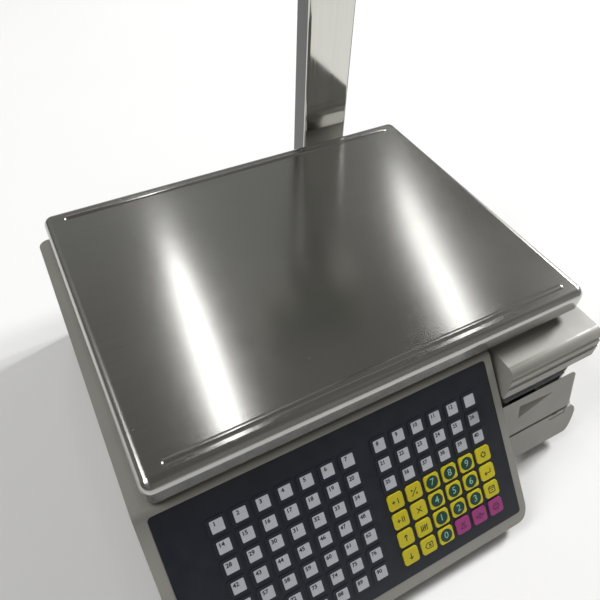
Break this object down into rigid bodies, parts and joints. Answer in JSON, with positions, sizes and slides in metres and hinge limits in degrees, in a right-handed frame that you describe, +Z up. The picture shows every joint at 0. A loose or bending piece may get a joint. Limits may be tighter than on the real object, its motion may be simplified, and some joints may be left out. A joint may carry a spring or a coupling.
{
  "type": "label printing scale",
  "caption": "Retail scale: stainless weighing tray on a load cell, sloping keyboard, label printer at the front right and a two-sided display on a rear pole.",
  "frame": {"origin": "on the table under the middle of the overall box", "axes": "+X to the operator's right, +Y to the back, +Z up"},
  "size_m": [0.402, 0.45, 0.52],
  "materials": {
    "housing_grey": "fine moulded texture",
    "dark_plastic": "fine moulded texture",
    "grey_plastic": "moulded",
    "panel_navy": "satin film over a moulded plate",
    "label_white": "printed inserts under film",
    "key_yellow": "satin",
    "key_pink": "satin",
    "stainless": "brush lines across the width, light wear",
    "polished_steel": "mirror polished with faint drawing lines",
    "cast_aluminium": "as cast",
    "machined_aluminium": "milled",
    "zinc_steel": "zinc plated",
    "black_rubber": "moulded",
    "circuit_green": "solder mask",
    "gear_plastic": "acetal",
    "brass_metal": "turned",
    "label_paper": "wound label stock",
    "lever_green": "moulded",
    "lcd_glass": "clear pane over a reflective display",
    "switch_red": "moulded"
  },
  "bodies": {
    "casing": {"base_tray": "dark_plastic", "top_housing": "housing_grey", "keypad_panel": "panel_navy", "preset_keys": "label_white", "shortcut_keys": "key_yellow", "key_board": "circuit_green", "printer_top_cover": "housing_grey", "printer_housing": "housing_grey", "printer_frame": "zinc_steel", "feed_motor": "zinc_steel", "tear_bar": "zinc_steel", "load_cell": "machined_aluminium", "fasteners": "zinc_steel", "bubble_level": "grey_plastic", "main_board": "circuit_green", "power_supply": "zinc_steel", "power_inlet": "dark_plastic", "pole": "polished_steel", "pole_bracket": "dark_plastic", "display_head_front": "housing_grey", "display_head_rear": "housing_grey", "lcd_windows": "lcd_glass"},
    "weighing_platform": {"platter_support": "cast_aluminium", "support_pads": "black_rubber"},
    "weighing_tray": {"platter": "stainless"},
    "front_door": {"printer_front_door": "housing_grey"},
    "side_door": {"printer_side_door": "housing_grey"},
    "thermal_head": {"print_head": "machined_aluminium"},
    "head_release": {"head_lever": "lever_green"},
    "platen": {"platen_roller": "black_rubber", "platen_gear": "gear_plastic"},
    "idler": {"idler_gear": "gear_plastic"},
    "pinion": {"motor_pinion": "brass_metal"},
    "label_reel": {"label_roll": "label_paper", "roll_hub": "grey_plastic"},
    "rocker": {"power_switch": "switch_red"},
    "foot_1": {"levelling_foot_1": "black_rubber"},
    "foot_2": {"levelling_foot_2": "black_rubber"},
    "foot_3": {"levelling_foot_3": "black_rubber"},
    "foot_4": {"levelling_foot_4": "black_rubber"},
    "key_discount_cap": {"key_discount": "key_yellow"},
    "key_7_cap": {"key_7": "key_yellow"},
    "key_8_cap": {"key_8": "key_yellow"},
    "key_9_cap": {"key_9": "key_yellow"},
    "key_function_cap": {"key_function": "key_yellow"},
    "key_multiply_cap": {"key_multiply": "key_yellow"},
    "key_4_cap": {"key_4": "key_yellow"},
    "key_5_cap": {"key_5": "key_yellow"},
    "key_6_cap": {"key_6": "key_yellow"},
    "key_enter_cap": {"key_enter": "key_yellow"},
    "key_count_cap": {"key_count": "key_yellow"},
    "key_1_cap": {"key_1": "key_yellow"},
    "key_2_cap": {"key_2": "key_yellow"},
    "key_3_cap": {"key_3": "key_yellow"},
    "key_date_cap": {"key_date": "key_yellow"},
    "key_clear_cap": {"key_clear": "key_yellow"},
    "key_0_cap": {"key_0": "key_yellow"},
    "key_tare_cap": {"key_tare": "key_pink"},
    "key_zero_cap": {"key_zero": "key_pink"},
    "key_print_cap": {"key_print": "key_pink"}
  },
  "joints": [
    {"name": "weigh_travel", "type": "slide", "parent": "casing", "child": "weighing_platform", "axis": [0, 0, -1], "range_m": [0, 0.0006], "stiffness_N_per_m": 245000, "springref_m": -0.00007, "deforming": ["load_cell"]},
    {"name": "tray_lift_off", "type": "slide", "parent": "weighing_platform", "child": "weighing_tray", "axis": [0, 0, 1], "range_m": [0, 0.06]},
    {"name": "front_door_hinge", "type": "hinge", "parent": "casing", "child": "front_door", "pos_m": [0.1375, -0.1663, 0.0461], "axis": [1, 0, 0], "range_deg": [0, 80]},
    {"name": "side_door_hinge", "type": "hinge", "parent": "casing", "child": "side_door", "pos_m": [0.1862, -0.05, 0.053], "axis": [0, 0, 1], "range_deg": [0, 95]},
    {"name": "head_lever_turn", "type": "hinge", "parent": "casing", "child": "head_release", "pos_m": [0.175, -0.131, 0.074], "axis": [1, 0, 0], "range_deg": [0, 60]},
    {"name": "head_lift", "type": "hinge", "parent": "casing", "child": "thermal_head", "pos_m": [0.136, -0.108, 0.106], "axis": [-1, 0, 0], "range_deg": [0, 12]},
    {"name": "platen_spin", "type": "hinge", "parent": "casing", "child": "platen", "pos_m": [0.136, -0.138, 0.084], "axis": [1, 0, 0], "continuous": true},
    {"name": "idler_spin", "type": "hinge", "parent": "casing", "child": "idler", "pos_m": [0.0974, -0.138, 0.0616], "axis": [1, 0, 0], "continuous": true},
    {"name": "pinion_spin", "type": "hinge", "parent": "casing", "child": "pinion", "pos_m": [0.0974, -0.138, 0.044], "axis": [1, 0, 0], "continuous": true},
    {"name": "label_reel_spin", "type": "hinge", "parent": "casing", "child": "label_reel", "pos_m": [0.137, -0.084, 0.062], "axis": [1, 0, 0], "continuous": true},
    {"name": "power_rocker", "type": "hinge", "parent": "casing", "child": "rocker", "pos_m": [-0.138, 0.154, 0.071], "axis": [-1, 0, 0], "range_deg": [0, 16]},
    {"name": "foot_1_turn", "type": "hinge", "parent": "casing", "child": "foot_1", "pos_m": [-0.168, -0.19, 0.015], "axis": [0, 0, 1], "continuous": true},
    {"name": "foot_2_turn", "type": "hinge", "parent": "casing", "child": "foot_2", "pos_m": [0.168, -0.142, 0.015], "axis": [0, 0, 1], "continuous": true},
    {"name": "foot_3_turn", "type": "hinge", "parent": "casing", "child": "foot_3", "pos_m": [-0.168, 0.13, 0.015], "axis": [0, 0, 1], "continuous": true},
    {"name": "foot_4_turn", "type": "hinge", "parent": "casing", "child": "foot_4", "pos_m": [0.168, 0.13, 0.015], "axis": [0, 0, 1], "continuous": true},
    {"name": "key_discount_press", "type": "slide", "parent": "casing", "child": "key_discount_cap", "axis": [0, 0.7615, -0.6481], "range_m": [0, 0.0008], "stiffness_N_per_m": 1500},
    {"name": "key_7_press", "type": "slide", "parent": "casing", "child": "key_7_cap", "axis": [0, 0.7615, -0.6481], "range_m": [0, 0.0008], "stiffness_N_per_m": 1500},
    {"name": "key_8_press", "type": "slide", "parent": "casing", "child": "key_8_cap", "axis": [0, 0.7615, -0.6481], "range_m": [0, 0.0008], "stiffness_N_per_m": 1500},
    {"name": "key_9_press", "type": "slide", "parent": "casing", "child": "key_9_cap", "axis": [0, 0.7615, -0.6481], "range_m": [0, 0.0008], "stiffness_N_per_m": 1500},
    {"name": "key_function_press", "type": "slide", "parent": "casing", "child": "key_function_cap", "axis": [0, 0.7615, -0.6481], "range_m": [0, 0.0008], "stiffness_N_per_m": 1500},
    {"name": "key_multiply_press", "type": "slide", "parent": "casing", "child": "key_multiply_cap", "axis": [0, 0.7615, -0.6481], "range_m": [0, 0.0008], "stiffness_N_per_m": 1500},
    {"name": "key_4_press", "type": "slide", "parent": "casing", "child": "key_4_cap", "axis": [0, 0.7615, -0.6481], "range_m": [0, 0.0008], "stiffness_N_per_m": 1500},
    {"name": "key_5_press", "type": "slide", "parent": "casing", "child": "key_5_cap", "axis": [0, 0.7615, -0.6481], "range_m": [0, 0.0008], "stiffness_N_per_m": 1500},
    {"name": "key_6_press", "type": "slide", "parent": "casing", "child": "key_6_cap", "axis": [0, 0.7615, -0.6481], "range_m": [0, 0.0008], "stiffness_N_per_m": 1500},
    {"name": "key_enter_press", "type": "slide", "parent": "casing", "child": "key_enter_cap", "axis": [0, 0.7615, -0.6481], "range_m": [0, 0.0008], "stiffness_N_per_m": 1500},
    {"name": "key_count_press", "type": "slide", "parent": "casing", "child": "key_count_cap", "axis": [0, 0.7615, -0.6481], "range_m": [0, 0.0008], "stiffness_N_per_m": 1500},
    {"name": "key_1_press", "type": "slide", "parent": "casing", "child": "key_1_cap", "axis": [0, 0.7615, -0.6481], "range_m": [0, 0.0008], "stiffness_N_per_m": 1500},
    {"name": "key_2_press", "type": "slide", "parent": "casing", "child": "key_2_cap", "axis": [0, 0.7615, -0.6481], "range_m": [0, 0.0008], "stiffness_N_per_m": 1500},
    {"name": "key_3_press", "type": "slide", "parent": "casing", "child": "key_3_cap", "axis": [0, 0.7615, -0.6481], "range_m": [0, 0.0008], "stiffness_N_per_m": 1500},
    {"name": "key_date_press", "type": "slide", "parent": "casing", "child": "key_date_cap", "axis": [0, 0.7615, -0.6481], "range_m": [0, 0.0008], "stiffness_N_per_m": 1500},
    {"name": "key_clear_press", "type": "slide", "parent": "casing", "child": "key_clear_cap", "axis": [0, 0.7615, -0.6481], "range_m": [0, 0.0008], "stiffness_N_per_m": 1500},
    {"name": "key_0_press", "type": "slide", "parent": "casing", "child": "key_0_cap", "axis": [0, 0.7615, -0.6481], "range_m": [0, 0.0008], "stiffness_N_per_m": 1500},
    {"name": "key_tare_press", "type": "slide", "parent": "casing", "child": "key_tare_cap", "axis": [0, 0.7615, -0.6481], "range_m": [0, 0.0008], "stiffness_N_per_m": 1500},
    {"name": "key_zero_press", "type": "slide", "parent": "casing", "child": "key_zero_cap", "axis": [0, 0.7615, -0.6481], "range_m": [0, 0.0008], "stiffness_N_per_m": 1500},
    {"name": "key_print_press", "type": "slide", "parent": "casing", "child": "key_print_cap", "axis": [0, 0.7615, -0.6481], "range_m": [0, 0.0008], "stiffness_N_per_m": 1500}
  ],
  "couplings": [
    {"joint": "idler_spin", "follows": "platen_spin", "ratio": -0.75},
    {"joint": "pinion_spin", "follows": "platen_spin", "ratio": 2},
    {"joint": "head_lift", "follows": "head_lever_turn", "ratio": 0.2}
  ]
}
